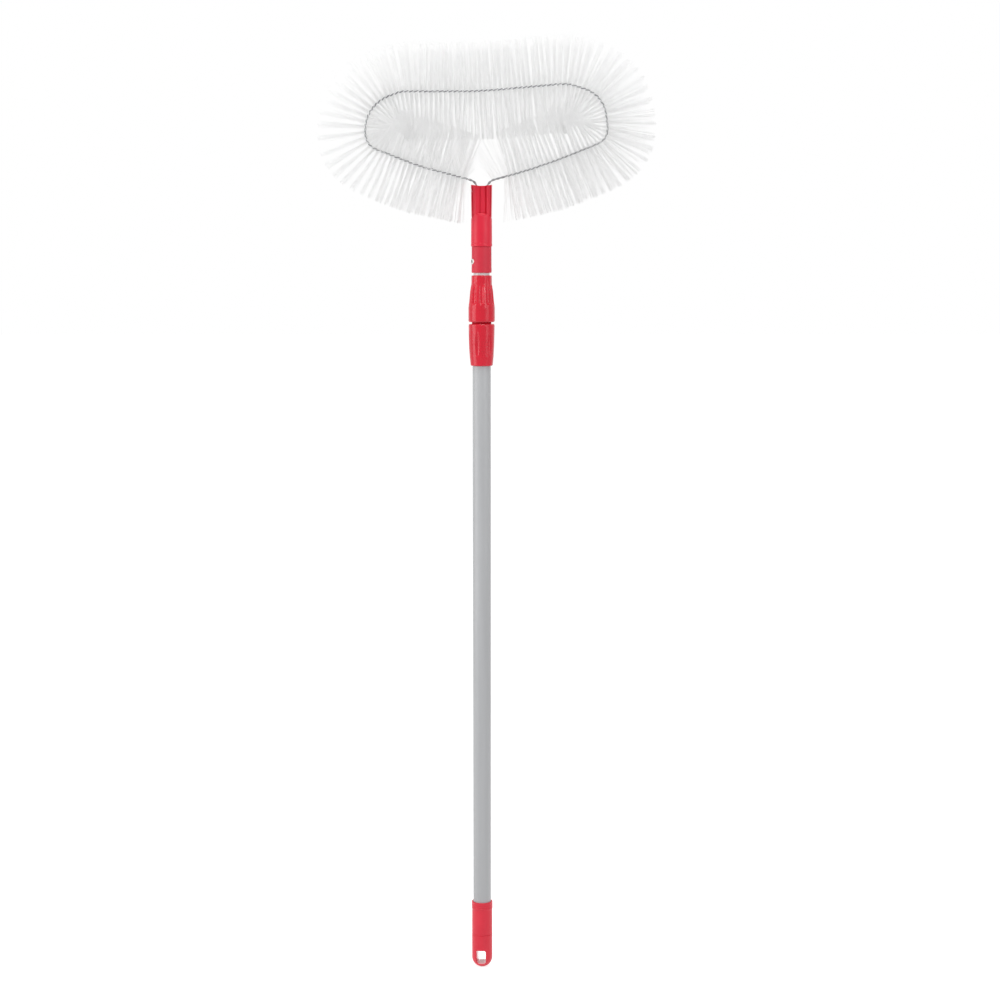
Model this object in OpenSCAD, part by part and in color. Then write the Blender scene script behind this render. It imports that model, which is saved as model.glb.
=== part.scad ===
// Cobweb brush: a looped twisted-wire brush on a two-piece telescopic pole with a twist lock.
// The pole runs along Z with the brush at the top. The front faces -Y.
// The origin is the centre of the hang hole in the end cap.

/* [Pole] */
// Outside diameter of the outer tube
outer_d = 25; // [22:0.5:30]
// Wall of the outer tube
outer_wall = 0.5; // [0.4:0.1:1]
// Length of the outer tube
outer_len = 858; // [500:1:1200]
// Outside diameter of the inner tube
inner_d = 22; // [18:0.5:22.5]
// Wall of the inner tube
inner_wall = 0.5; // [0.4:0.1:1]
// Length of inner tube that stays above the outer tube when the pole is closed
stick_out = 118; // [112:1:200]
// Depth of the guide bush inside the inner tube
bush_depth = 30; // [15:1:60]
// Height of the guide bush's foot below the inner tube
bush_foot = 9; // [3:0.5:30]

/* [End cap] */
// Wall of the cap round the outer tube
cap_wall = 1.85; // [1.2:0.05:4]
// Amount by which the rim stands out from the body
cap_rim = 0.25; // [0.1:0.05:1]
// Height of the rim band
cap_rim_h = 10; // [4:1:20]
// Depth of the cap's socket on the outer tube
cap_socket = 60.3; // [30:0.1:90]
// Width of the hang hole at its mouths
hole_w = 14.2; // [8:0.1:16]
// Height of the hang hole
hole_h = 21.6; // [14:0.1:30]
// Corner radius of the hang hole
hole_r = 3; // [1:0.5:5]
// Amount by which each side of the hang hole draws in at its middle
hole_draft = 1.2; // [0:0.1:2]
// Thickness of the cap below the hang hole
cap_tail = 6.2; // [4:0.1:10]
// Thickness between the hang hole and the socket's floor
cap_floor = 7; // [3:0.5:15]

/* [Twist lock] */
// Wall of the grip collar round the outer tube, near its bottom
grip_wall = 2.95; // [2:0.05:5]
// Amount by which the grip collar's radius grows towards its top
grip_swell = 2.35; // [1.5:0.05:5]
// Length of the grip collar
grip_len = 56.4; // [50:0.1:90]
// Depth of the outer tube inside the grip collar
grip_grab = 42; // [20:1:50]
// Number of flutes on the grip collar
grip_flutes = 6; // [4:1:10]
// Wall of the threaded neck round the outer tube
neck_wall = 1.65; // [1.4:0.05:2.5]
// Length of neck that shows between the collar and the nut
neck_show = 3.8; // [2:0.1:8]
// Length of neck inside the nut
neck_in = 23; // [15:0.5:35]
// Wall of the lock nut's smooth skirt round the neck
nut_wall = 3.85; // [3.5:0.05:6]
// Wall of the lock nut's top round the inner tube
nut_top_wall = 2.7; // [2.2:0.1:4]
// Height of the lock nut's smooth skirt
nut_skirt = 23; // [18:0.5:30]
// Length of the lock nut
nut_len = 63.4; // [55:0.1:90]
// Number of scallops round the lock nut
nut_scallops = 10; // [6:1:12]
// Width of the slit in the clamp ring
slit_w = 2; // [1:0.5:4]

/* [Pole tip] */
// Wall of the tip sleeve round the inner tube
sleeve_wall = 2.6; // [2:0.1:5]
// Length of inner tube that the tip sleeve covers
sleeve_grab = 33; // [20:0.5:60]
// Thickness of the sleeve over the tube's end
sleeve_roof = 2.5; // [1.5:0.5:6]
// Diameter of the stub at its root
stub_d = 21.6; // [16:0.1:23]
// Length of the stub inside the brush holder
stub_len = 38; // [20:1:50]
// Diameter of the rivet's head
rivet_head_d = 7.7; // [6:0.1:9]
// Diameter of the rivet's shank
rivet_d = 4; // [3:0.1:5]

/* [Brush holder] */
// Wall of the holder's socket skirt round the stub
holder_wall = 3.4; // [2.6:0.1:6]
// Length of the holder
holder_len = 83.8; // [75:0.1:120]
// Height of the socket skirt at the crown of its arch
skirt_h = 45.3; // [42:0.1:60]
// Amount by which the arch that ends the skirt is larger in radius than the skirt
arch_over = 3.2; // [1:0.1:10]
// Amount taken off the front and the back of the fluted part
flat_cut = 1.9; // [1:0.1:2.5]
// Number of grooves round the fluted part
holder_grooves = 8; // [6:1:12]
// Dip in the middle of the holder's top
saddle = 1.9; // [0.5:0.1:3]

/* [Brush] */
// Diameter of each wire
wire_d = 1.9; // [1.5:0.1:2.2]
// Distance from the pole's axis to each end of the wires
wire_x = 6.5; // [4:0.5:8]
// Length of the wires' straight ends below the holder's top
wire_in = 28; // [15:1:36]
// Width over the wire loop's outermost bends
loop_w = 330; // [275:1:400]
// Height of the wire loop above the holder
loop_h = 136; // [112:1:165]
// Bare wire between the holder and the bristles, on the left
bare_left = 20.5; // [15:0.5:60]
// Bare wire between the holder and the bristles, on the right
bare_right = 29.5; // [15:0.5:60]
// Length of the bristles
bristle_len = 65; // [40:1:80]
// Thickness of a strand
strand_d = 0.7; // [0.5:0.1:0.8]
// Strands along each side of each section
strands = 26; // [18:1:30]

/* [Hidden] */
$fn = 96;

// Clearances
fixed_fit = 0.05;   // radial gap of pieces that are pressed or riveted together
slide_fit = 0.1;    // radial gap of sliding and turning fits
free_gap = 0.3;     // radial gap where nothing guides
seat_gap = 0.1;     // gap between faces that rest on each other
edge = 0.6;         // small chamfer on moulded edges
more = 1;           // how far a cutter runs past the face it cuts
lap = 0.3;          // length of each straight of wire inside the bends beside it
slim = 0.02;        // how much thinner a straight of wire is than the bends, so that it ends inside them

// Diameters and radii, each built up from what it goes round
cap_d = outer_d + 2 * (fixed_fit + cap_wall);
grip_foot_d = outer_d + 2 * (fixed_fit + grip_wall);
grip_d = grip_foot_d + 2 * grip_swell;
neck_d = outer_d + 2 * (fixed_fit + neck_wall);
nut_d = neck_d + 2 * (slide_fit + nut_wall);
nut_top_d = inner_d + 2 * (free_gap + nut_top_wall);
sleeve_d = inner_d + 2 * (fixed_fit + sleeve_wall);
holder_d = stub_d + 2 * (slide_fit + holder_wall);
arch_r = holder_d / 2 + arch_over;
flat_y = holder_d / 2 - flat_cut;
groove_floor_r = flat_y - 1.4;

// Where each ring of details starts, as an angle about the pole from +X towards +Y
first_flute = 10.2;
first_scallop = 16;
first_groove = 30;
rivet_angle = 204;
rivet_share = 0.47;     // height of the rivet, as a share of the sleeve's grip on the tube

// Heights along the pole, stacked from the hang hole upwards
stub_room = 1.5;        // space over the stub's end
floor_z = hole_h / 2 + cap_floor;
cap_top_z = floor_z + cap_socket;
cap_ball_z = cap_d / 2 - hole_h / 2 - cap_tail;
outer_top_z = floor_z + outer_len;
grip_z = outer_top_z - grip_grab;
grip_top_z = grip_z + grip_len;
nut_z = grip_top_z + neck_show;
neck_top_z = nut_z + neck_in;
nut_top_z = nut_z + nut_len;
inner_z = floor_z + bush_foot + 2 * seat_gap;
inner_top_z = outer_top_z + stick_out;
sleeve_z = inner_top_z - sleeve_grab;
sleeve_top_z = inner_top_z + seat_gap + sleeve_roof;
holder_z = sleeve_top_z + seat_gap;
holder_top_z = holder_z + holder_len;
socket_top_z = holder_z + stub_len + stub_room;

// Radii that follow from what fits inside
outer_bore = outer_d / 2 - outer_wall;
inner_bore = inner_d / 2 - inner_wall;
lip_bore = inner_d / 2 + free_gap;
neck_r = neck_d / 2;
chamber_r = neck_r - 0.9;
ring_r = chamber_r - free_gap;
ring_foot_r = inner_d / 2 + 0.55;
ring_bite = 8;          // depth of the ring's cone inside the neck's mouth
ring_head = 11;         // height of the ring above the neck
ring_slope = (ring_r - 0.9 - ring_foot_r) / ring_bite;
ring_z = neck_top_z - ring_bite;
ring_top_z = neck_top_z + ring_head;
stub_taper = 0.6;       // how much smaller the stub's radius is at its tip
rivet_seat = sleeve_d / 2 - 0.55;
seam_up = 13;           // height of the cap's seam groove above its socket's floor
arch_flat = 0.1;        // distance from the holder's flat sides to its arch's chamfer
arch_chamfer = 1.6;     // width of the chamfer round the arch

// The web between the wires that the bristles grow from
web_half_t = strand_d / 2 - 0.05;
web_half_w = wire_d / 2 + 0.35;
wire_y = web_half_t + fixed_fit + wire_d / 2;

// Colours
red = "#d92b42";
bright_red = "#e0263f";
grey = "#b4b6b8";
steel = "#c9cbcd";
wire_grey = "#9b9d9f";
natural = "#e9e6dc";
black = "#2b2b2d";
bristle_white = "#f4f6f7";

// A body turned about the pole's axis from a list of [radius, height] points
module turned(points) {
    rotate_extrude() polygon(points);
}

// A straight bore on the pole's axis from height a to height b
module bore(r, a, b) {
    translate([0, 0, a]) cylinder(h = b - a, r = r);
}

// Copies something n times round the pole's axis, the first at angle first
module ring_of(n, first) {
    for (i = [0:n - 1]) rotate([0, 0, first + i * 360 / n]) children();
}

module outer_tube() {
    color(grey) difference() {
        bore(outer_d / 2, floor_z, outer_top_z);
        bore(outer_bore, floor_z - more, outer_top_z + more);
    }
}

// Rounded rectangle of width w and height h, centred, built from true arcs
module rounded_slot(w, h, r) {
    square([w - 2 * r, h], center = true);
    square([w, h - 2 * r], center = true);
    for (x = [-1, 1], y = [-1, 1]) translate([x * (w / 2 - r), y * (h / 2 - r)]) circle(r);
}

// The hang hole: a rounded window whose sides draw in towards the middle
module hang_hole() {
    reach = cap_d / 2 + more;
    waist = hole_w / 2 - hole_draft;
    mouth = waist + hole_draft * reach / (cap_d / 2 - 2);
    intersection() {
        rotate([90, 0, 0]) linear_extrude(2 * reach, center = true)
            rounded_slot(2 * mouth, hole_h, hole_r);
        linear_extrude(hole_h + 2, center = true)
            polygon([
                [-mouth, -reach], [mouth, -reach], [waist, 0],
                [mouth, reach], [-mouth, reach], [-waist, 0]
            ]);
    }
}

// Shallow groove round the cap at height z
module cap_groove(z, r, depth) {
    rotate_extrude() translate([r, z]) circle(depth, $fn = 24);
}

module end_cap() {
    r = cap_d / 2;
    rim_r = r + cap_rim;
    seam_z = floor_z + seam_up;
    color(red) difference() {
        union() {
            translate([0, 0, cap_ball_z]) sphere(r);
            turned([
                [0, cap_ball_z], [r, cap_ball_z], [r + 0.05, seam_z], [r - 0.1, cap_top_z - cap_rim_h - edge],
                [rim_r, cap_top_z - cap_rim_h], [rim_r, cap_top_z - edge], [rim_r - edge, cap_top_z],
                [0, cap_top_z]
            ]);
        }
        bore(outer_d / 2 + fixed_fit, floor_z, cap_top_z + more);
        hang_hole();
        cap_groove(seam_z, r + 0.1, 0.35);
        cap_groove(cap_top_z - cap_rim_h / 2, rim_r, 0.35);
    }
}

// Plug in the inner tube's foot. Its head runs in the outer tube and stops at the grip collar's lip.
module guide_bush() {
    foot_z = floor_z + seat_gap;
    head_r = outer_bore - slide_fit;
    stem_r = inner_bore - fixed_fit;
    stem_top = inner_z + bush_depth;
    color(black) difference() {
        turned([
            [0, foot_z], [head_r - edge, foot_z], [head_r, foot_z + edge], [head_r, inner_z - seat_gap],
            [stem_r, inner_z - seat_gap], [stem_r, stem_top - edge], [stem_r - edge, stem_top], [0, stem_top]
        ]);
        bore(stem_r - 2.4, foot_z + 2.5, stem_top + more);
    }
}

module inner_tube() {
    color(steel) difference() {
        bore(inner_d / 2, inner_z, inner_top_z);
        bore(inner_bore, inner_z - more, inner_top_z + more);
        rivet_hole();
    }
}

// Tall pointed flute: a lemon-shaped cutter that stands just outside the collar
module grip_flute(length) {
    lemon_r = 4.2;
    stand_off = 2;
    tilt = 1.6;
    arc_r = (length * length / 4 + lemon_r * lemon_r) / (2 * lemon_r);
    translate([grip_d / 2 + stand_off, 0, 0])
        rotate([0, -tilt, 0])
            rotate_extrude()
                intersection() {
                    translate([lemon_r - arc_r, 0]) circle(arc_r, $fn = 360);
                    translate([0, -length / 2]) square([lemon_r, length]);
                }
}

// Fluted collar on the outer tube, with the threaded neck and the clamp ring's conical mouth
module grip_collar() {
    r = grip_d / 2;
    foot_r = grip_foot_d / 2;
    mouth_r = ring_foot_r + slide_fit;
    mouth_h = ring_bite + seat_gap + more;
    flute_z = grip_z + 0.44 * grip_len;
    color(bright_red) difference() {
        turned([
            [0, grip_z], [foot_r - 2.2, grip_z], [foot_r - 0.6, grip_z + 1.2], [foot_r, grip_z + 3.4],
            [foot_r + 0.9, grip_z + 0.21 * grip_len], [r - 0.75, flute_z],
            [r - 0.3, grip_z + 0.67 * grip_len],
            [r, grip_top_z - 3.5], [r - 0.1, grip_top_z - 1.4], [r - 0.9, grip_top_z],
            [neck_r, grip_top_z], [neck_r, neck_top_z - edge], [neck_r - edge, neck_top_z],
            [0, neck_top_z]
        ]);
        bore(outer_d / 2 + fixed_fit, grip_z - more, outer_top_z + seat_gap);
        bore(lip_bore, grip_z, neck_top_z + more);
        translate([0, 0, ring_z - seat_gap])
            cylinder(h = mouth_h, r1 = mouth_r, r2 = mouth_r + ring_slope * mouth_h);
        ring_of(grip_flutes, first_flute) translate([0, 0, flute_z]) grip_flute(grip_len);
    }
}

// Split ring with a conical foot: the nut pushes it down into the neck and it grips the inner tube
module clamp_ring() {
    color(natural) difference() {
        turned([
            [0, ring_z], [ring_foot_r, ring_z], [ring_foot_r + ring_slope * ring_bite, neck_top_z],
            [ring_r, neck_top_z + 1.5], [ring_r, ring_top_z - edge], [ring_r - edge, ring_top_z],
            [0, ring_top_z]
        ]);
        bore(inner_d / 2 + fixed_fit, ring_z - more, ring_top_z + more);
        translate([0, -slit_w / 2, ring_z - more])
            cube([neck_d, slit_w, ring_bite + ring_head + 2 * more]);
    }
}

// One scallop: a leaning round cutter whose lower end is a ball
module nut_scallop() {
    cut_r = 4.5;
    depth = 2.5;
    low = nut_skirt + 4;
    lean = 4.2;
    translate([nut_d / 2 - depth + cut_r, 0, nut_z + low]) rotate([0, -lean, 0]) {
        sphere(cut_r, $fn = 48);
        cylinder(h = 0.7 * (nut_len - nut_skirt), r = cut_r, $fn = 48);
    }
}

module lock_nut() {
    r = nut_d / 2;
    top_r = nut_top_d / 2;
    shoulder_z = ring_top_z + seat_gap;
    skirt_z = nut_z + nut_skirt;
    taper_h = nut_len - nut_skirt;
    color(bright_red) difference() {
        turned([
            [0, nut_z], [r - 1, nut_z], [r, nut_z + 1.6], [r, skirt_z - 4],
            [r - 0.4, skirt_z], [r - 1.1, skirt_z + 0.08 * taper_h], [r - 2.4, skirt_z + 0.45 * taper_h],
            [top_r + 0.7, skirt_z + 0.62 * taper_h], [top_r, skirt_z + 0.7 * taper_h],
            [top_r, nut_top_z - edge], [top_r - edge, nut_top_z], [0, nut_top_z]
        ]);
        bore(neck_r + slide_fit, nut_z - more, neck_top_z + seat_gap);
        bore(chamber_r, nut_z, shoulder_z);
        bore(lip_bore, nut_z, nut_top_z + more);
        ring_of(nut_scallops, first_scallop) nut_scallop();
    }
}

// The rivet's own place: on the left, a little to the front, half-way up the sleeve's grip
module at_rivet() {
    translate([0, 0, sleeve_z + rivet_share * sleeve_grab]) rotate([0, 90, rivet_angle]) children();
}

module rivet_hole() {
    at_rivet() cylinder(h = sleeve_d, r = rivet_d / 2 + fixed_fit, $fn = 32);
}

// Ferrule on the inner tube's tip, with the tapered stub that carries the brush
module tip_sleeve() {
    r = sleeve_d / 2;
    stub_top_z = sleeve_top_z + stub_len;
    color(red) difference() {
        turned([
            [0, sleeve_z], [r - edge, sleeve_z], [r + 0.1, sleeve_z + edge], [r + 0.1, sleeve_z + 6],
            [r - 0.1, sleeve_top_z - edge], [r - edge, sleeve_top_z], [stub_d / 2, sleeve_top_z],
            [stub_d / 2 - stub_taper, stub_top_z - edge], [stub_d / 2 - stub_taper - edge, stub_top_z],
            [0, stub_top_z]
        ]);
        bore(inner_d / 2 + fixed_fit, sleeve_z - more, inner_top_z + seat_gap);
        bore(stub_d / 2 - 3.2, sleeve_z, stub_top_z - 3);
        rivet_hole();
        at_rivet() translate([0, 0, rivet_seat])
            cylinder(h = sleeve_d, r = rivet_head_d / 2 + fixed_fit, $fn = 48);
    }
}

// Blind rivet: a domed head with its open centre, a shank, and the bulge inside the tube
module tip_rivet() {
    head_r = rivet_head_d / 2;
    shank_r = rivet_d / 2;
    bulge_r = shank_r + 0.9;
    bulge = sqrt(pow(inner_bore, 2) - pow(bulge_r, 2)) - seat_gap;
    color(steel) at_rivet() turned([
        [0, bulge - 2.8], [shank_r, bulge - 2.8], [bulge_r, bulge - 2], [bulge_r, bulge],
        [shank_r, bulge], [shank_r, rivet_seat], [head_r, rivet_seat], [head_r, rivet_seat + 0.35],
        [0.75 * head_r, rivet_seat + 1.05], [0.4 * head_r, rivet_seat + 1.3], [1, rivet_seat + 1.3],
        [1, rivet_seat - 1], [0, rivet_seat - 1]
    ]);
}

// Round skirt of the holder, ended by an arch that shows from the front and the back
module holder_skirt() {
    r = holder_d / 2;
    arch_z = holder_z + skirt_h - arch_r;
    intersection() {
        turned([
            [0, holder_z], [r - 0.3, holder_z], [r + 0.1, holder_z + edge], [r + 0.1, holder_z + 1.6],
            [r - 0.05, holder_z + 2], [r - 0.3, arch_z], [r - 0.3, holder_z + skirt_h + more],
            [0, holder_z + skirt_h + more]
        ]);
        union() {
            translate([-holder_d, -holder_d, holder_z - more])
                cube([2 * holder_d, 2 * holder_d, arch_z - holder_z + more]);
            translate([0, 0, arch_z]) for (side = [-90, 90]) rotate([side, 0, 0]) {
                cylinder(h = flat_y + arch_flat, r = arch_r);
                translate([0, 0, flat_y + arch_flat])
                    cylinder(h = 2, r1 = arch_r, r2 = arch_r - arch_chamfer);
            }
        }
    }
}

// Fluted part of the holder, flattened at the front and back
module holder_flutes() {
    r = holder_d / 2;
    core_z = holder_z + skirt_h - arch_r;
    core_h = holder_top_z - core_z;
    groove_r = 1.35;
    difference() {
        intersection() {
            translate([0, 0, core_z]) cylinder(h = core_h, r1 = r - 0.3, r2 = r + 0.1);
            translate([-holder_d, -flat_y, core_z]) cube([2 * holder_d, 2 * flat_y, core_h]);
        }
        ring_of(holder_grooves, first_groove) translate([0, 0, core_z - more]) linear_extrude(core_h + 2 * more) {
            translate([groove_floor_r + groove_r, 0]) circle(groove_r, $fn = 24);
            translate([groove_floor_r + groove_r, -groove_r]) square([holder_d, 2 * groove_r]);
        }
    }
}

// One moulding: the socket for the pole's stub, and the fluted top that holds the wires' ends
module brush_holder() {
    dip_r = (pow(holder_d / 2, 2) + pow(saddle, 2)) / (2 * saddle);
    socket_r = stub_d / 2 + slide_fit;
    color(red) difference() {
        union() {
            holder_skirt();
            holder_flutes();
        }
        translate([0, 0, holder_z - seat_gap]) cylinder(
            h = stub_len + seat_gap, r1 = socket_r, r2 = socket_r - stub_taper);
        bore(socket_r - stub_taper, holder_z, socket_top_z);
        translate([0, 0, holder_top_z - saddle + dip_r]) rotate([90, 0, 0])
            cylinder(h = 2 * holder_d, r = dip_r, center = true, $fn = 360);
        for (end = [0, 1]) wire_socket(end);
    }
}

// The wire loop's route, from the left end up, round clockwise and down the right end.
// Each corner is [x, height above the holder's top, bend radius], drawn for a loop 330 wide and 136 high.
drawn_w = 330;
drawn_h = 136;
drawn = [
    [-87, 26, 210], [-158, 53.5, 23], [-157.5, 107, 49], [-109, 125.5, 40], [-3.5, 125.5, 540],
    [117, 136, 60], [166.5, 120.5, 42], [173.5, 61, 22], [81, 24, 800]
];
entry_up = 4;       // height of the corners where the wires leave the holder
entry_left_r = 11;
entry_right_r = 15;
wider = loop_w / drawn_w;
higher = loop_h / drawn_h;
corners = concat(
    [[-wire_x, -wire_in, 0], [-wire_x, entry_up, entry_left_r]],
    [for (c = drawn) [c[0] * wider, c[1] * higher, c[2] * min(wider, higher)]],
    [[wire_x, entry_up, entry_right_r], [wire_x, -wire_in, 0]]
);
last = len(corners) - 1;

function unit(v) = v / norm(v);
function corner(i) = [corners[i][0], corners[i][1]];
function bend_r(i) = corners[i][2];

// Direction of the straight that leaves corner i
function way(i) = unit(corner(i + 1) - corner(i));

// Turn at corner i, positive to the left
function turn(i) = let(a = way(i - 1), b = way(i)) atan2(a[0] * b[1] - a[1] * b[0], a * b);

// Length that the bend takes off each straight beside corner i
function taken(i) = i == 0 || i == last ? 0 : bend_r(i) * tan(abs(turn(i)) / 2);
function bend_start(i) = corner(i) - way(i - 1) * taken(i);
function bend_centre(i) = let(w = way(i - 1)) bend_start(i) + sign(turn(i)) * bend_r(i) * [-w[1], w[0]];
function bend_angle(i) = let(d = bend_start(i) - bend_centre(i)) atan2(d[1], d[0]);
function straight_start(i) = corner(i) + way(i) * taken(i);
function straight_len(i) = norm(corner(i + 1) - corner(i)) - taken(i) - taken(i + 1);

// The route's pieces in order: even ones are straights, odd ones are bends
pieces = 2 * last - 1;
function piece_len(k) = k % 2 == 0
    ? straight_len(k / 2)
    : bend_r((k + 1) / 2) * abs(turn((k + 1) / 2)) * PI / 180;
piece_starts = [for (k = 0, s = 0; k < pieces; s = s + piece_len(k), k = k + 1) s];
route_len = piece_starts[pieces - 1] + piece_len(pieces - 1);

// [x, z, direction x, direction z] at distance d along piece k
function on_straight(i, d) = concat(straight_start(i) + way(i) * d, way(i));
function on_bend(i, d) =
    let(
        hand = sign(turn(i)),
        a = bend_angle(i) + hand * d / bend_r(i) * 180 / PI,
        p = bend_centre(i) + bend_r(i) * [cos(a), sin(a)]
    )
    [p[0], p[1], -hand * sin(a), hand * cos(a)];
function on_route(s) =
    let(k = max([for (j = [0:pieces - 1]) if (piece_starts[j] <= s) j]))
    k % 2 == 0 ? on_straight(k / 2, s - piece_starts[k]) : on_bend((k + 1) / 2, s - piece_starts[k]);

// A rod of radius r along straight i, its ends just inside the bends beside it
module straight_rod(i, r) {
    w = way(i);
    before = i == 0 ? 0 : lap;
    after = i == last - 1 ? 0 : lap;
    a = straight_start(i) - w * before;
    translate([a[0], 0, a[1]]) rotate([0, atan2(w[0], w[1]), 0])
        cylinder(h = before + straight_len(i) + after, r = r - slim, $fn = 48);
}

// A rod of radius r round the bend at corner i
module bend_rod(i, r) {
    c = bend_centre(i);
    from = min(bend_angle(i), bend_angle(i) + turn(i));
    translate([c[0], 0, c[1]]) rotate([90, 0, 0])
        rotate_extrude(angle = abs(turn(i)), start = from, $fn = 360)
            translate([bend_r(i), 0]) circle(r, $fn = 48);
}

// One wire of the pair along the whole route, at y
module wire(y) {
    translate([0, y, holder_top_z]) {
        for (i = [0:last - 1]) straight_rod(i, wire_d / 2);
        for (i = [1:last - 1]) bend_rod(i, wire_d / 2);
    }
}

// Curved hole in the holder for one end of the pair
module wire_socket(end) {
    r = wire_y + wire_d / 2 + fixed_fit;
    foot = corner(end == 0 ? 0 : last);
    translate([0, 0, holder_top_z]) {
        translate([foot[0], 0, foot[1] - seat_gap]) cylinder(h = lap + seat_gap, r = r, $fn = 48);
        straight_rod(end == 0 ? 0 : last - 1, r);
        bend_rod(end == 0 ? 1 : last - 1, r);
    }
}

module front_wire() {
    color(wire_grey) wire(-wire_y);
}

module back_wire() {
    color(wire_grey) wire(wire_y);
}

// Bristle stations along the route: one strand outwards and one inwards at each
sections = 8;
stations = sections * strands;
bristles_from = wire_in + bare_left;
bristles_to = route_len - wire_in - bare_right;
pitch = (bristles_to - bristles_from) / stations;
marks = [for (k = [0:stations - 1]) on_route(bristles_from + (k + 0.5) * pitch)];
leans = [0, 48, -24, 66, -48, 24, -66];

// Distance from station k, straight inwards, to the middle of the loop, where strands would meet
function room(k) =
    let(p = marks[k], inward = [p[3], -p[2]])
    min([for (q = marks) let(d = [q[0] - p[0], q[1] - p[1]], c = d * inward) if (c > 0.5) d * d / (2 * c)]);

function full_len(k) = bristle_len * (1 + 0.03 * sin(151 * k));
function lean(k) = leans[k % len(leans)];

// Corner (side n, side y, side t) of a box at station k, plus reach along the strand, as [x, y, z].
// out is 1 for the strand outwards and -1 for the one inwards.
function base_point(k, n, y, t) =
    let(m = marks[k], along = [m[2], 0, m[3]], normal = [-m[3], 0, m[2]])
    [m[0], 0, m[1]] + normal * n * web_half_w + [0, y * web_half_t, 0] + along * t * strand_d / 2;
function tip_point(k, out, reach, angle, y, t) =
    let(
        m = marks[k],
        along = [m[2], 0, m[3]],
        normal = out * [-m[3], 0, m[2]],
        run = cos(angle) * normal + [0, sin(angle), 0],
        across = -sin(angle) * normal + [0, cos(angle), 0]
    )
    [m[0], 0, m[1]] + normal * web_half_w + run * reach + (across * y + along * t) * strand_d / 2;

// The 16 points of station k: two rings of the web, then the tips of the two strands
function station_points(k) =
    let(
        a = lean(k),
        b = lean(k + 3),
        inner = min(full_len(k), 0.92 * room(k) / cos(b) - web_half_w)
    )
    concat(
        [for (t = [-1, 1]) for (c = [[1, -1], [1, 1], [-1, 1], [-1, -1]]) base_point(k, c[0], c[1], t)],
        [for (c = [[-1, -1], [1, -1], [1, 1], [-1, 1]]) tip_point(k, 1, full_len(k), a, c[0], c[1])],
        [for (c = [[1, -1], [-1, -1], [-1, 1], [1, 1]]) tip_point(k, -1, inner, b, c[0], c[1])]
    );

// Two triangles for four corners
function split(q) = [[q[0], q[1], q[2]], [q[0], q[2], q[3]]];

// A strand's faces: its sides from the corners of foot to those of tip, and its end
function strand_faces(foot, tip) = concat(
    split(tip),
    [for (e = [0:3]) let(f = (e + 1) % 4) for (s = split([foot[e], foot[f], tip[f], tip[e]])) s]
);

// Faces of station j of a section, whose points start at 16 * j
function station_faces(j) = let(a = 16 * j, b = a + 4) concat(
    split([a + 1, a + 2, b + 2, b + 1]),
    split([a + 3, a, b, b + 3]),
    strand_faces([a, a + 1, b + 1, b], [a + 8, a + 9, a + 10, a + 11]),
    strand_faces([a + 2, a + 3, b + 3, b + 2], [a + 12, a + 13, a + 14, a + 15])
);

// Faces of the bare web between station j and the next
function link_faces(j) = let(a = 16 * j + 4, b = a + 12)
    [for (e = [0:3]) let(f = (e + 1) % 4) for (s = split([a + e, a + f, b + f, b + e])) s];

// A slice of the web between the two wires, with its strands, as one closed body
module bristles(section) {
    first = section * strands;
    end = 16 * (strands - 1) + 4;
    color(bristle_white) translate([0, 0, holder_top_z]) polyhedron(
        points = [for (k = [first:first + strands - 1]) for (p = station_points(k)) p],
        faces = concat(
            split([3, 2, 1, 0]),
            [for (j = [0:strands - 1]) for (f = station_faces(j)) f],
            [for (j = [0:strands - 2]) for (f = link_faces(j)) f],
            split([end, end + 1, end + 2, end + 3])
        )
    );
}

module bristles_lower_left() bristles(0);
module bristles_left_end() bristles(1);
module bristles_upper_left() bristles(2);
module bristles_top_left() bristles(3);
module bristles_top_right() bristles(4);
module bristles_upper_right() bristles(5);
module bristles_right_end() bristles(6);
module bristles_lower_right() bristles(7);

end_cap();
outer_tube();
guide_bush();
inner_tube();
grip_collar();
clamp_ring();
lock_nut();
tip_sleeve();
tip_rivet();
brush_holder();
front_wire();
back_wire();
bristles_lower_left();
bristles_left_end();
bristles_upper_left();
bristles_top_left();
bristles_top_right();
bristles_upper_right();
bristles_right_end();
bristles_lower_right();
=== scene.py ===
"""Looks of the cobweb brush: a looped twisted-wire brush on a telescopic pole with a twist lock.

Shapes are worked out in millimetres in the model's frame and turned into metres when a mesh is made.
"""

import math

import bpy
import numpy as np
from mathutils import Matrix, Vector

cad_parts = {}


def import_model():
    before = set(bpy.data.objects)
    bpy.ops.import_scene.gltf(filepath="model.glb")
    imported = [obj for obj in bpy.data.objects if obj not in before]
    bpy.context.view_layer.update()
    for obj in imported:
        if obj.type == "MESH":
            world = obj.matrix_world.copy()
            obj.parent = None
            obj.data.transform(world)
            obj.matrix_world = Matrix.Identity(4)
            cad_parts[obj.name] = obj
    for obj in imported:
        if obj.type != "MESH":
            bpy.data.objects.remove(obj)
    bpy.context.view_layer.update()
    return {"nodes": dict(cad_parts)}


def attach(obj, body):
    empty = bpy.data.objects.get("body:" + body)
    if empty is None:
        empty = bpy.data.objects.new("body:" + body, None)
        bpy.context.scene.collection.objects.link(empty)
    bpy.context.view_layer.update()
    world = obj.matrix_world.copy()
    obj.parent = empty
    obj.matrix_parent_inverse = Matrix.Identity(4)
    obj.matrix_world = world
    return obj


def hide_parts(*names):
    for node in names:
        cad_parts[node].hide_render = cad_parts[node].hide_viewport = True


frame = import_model()
rng = np.random.default_rng(7)

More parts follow.
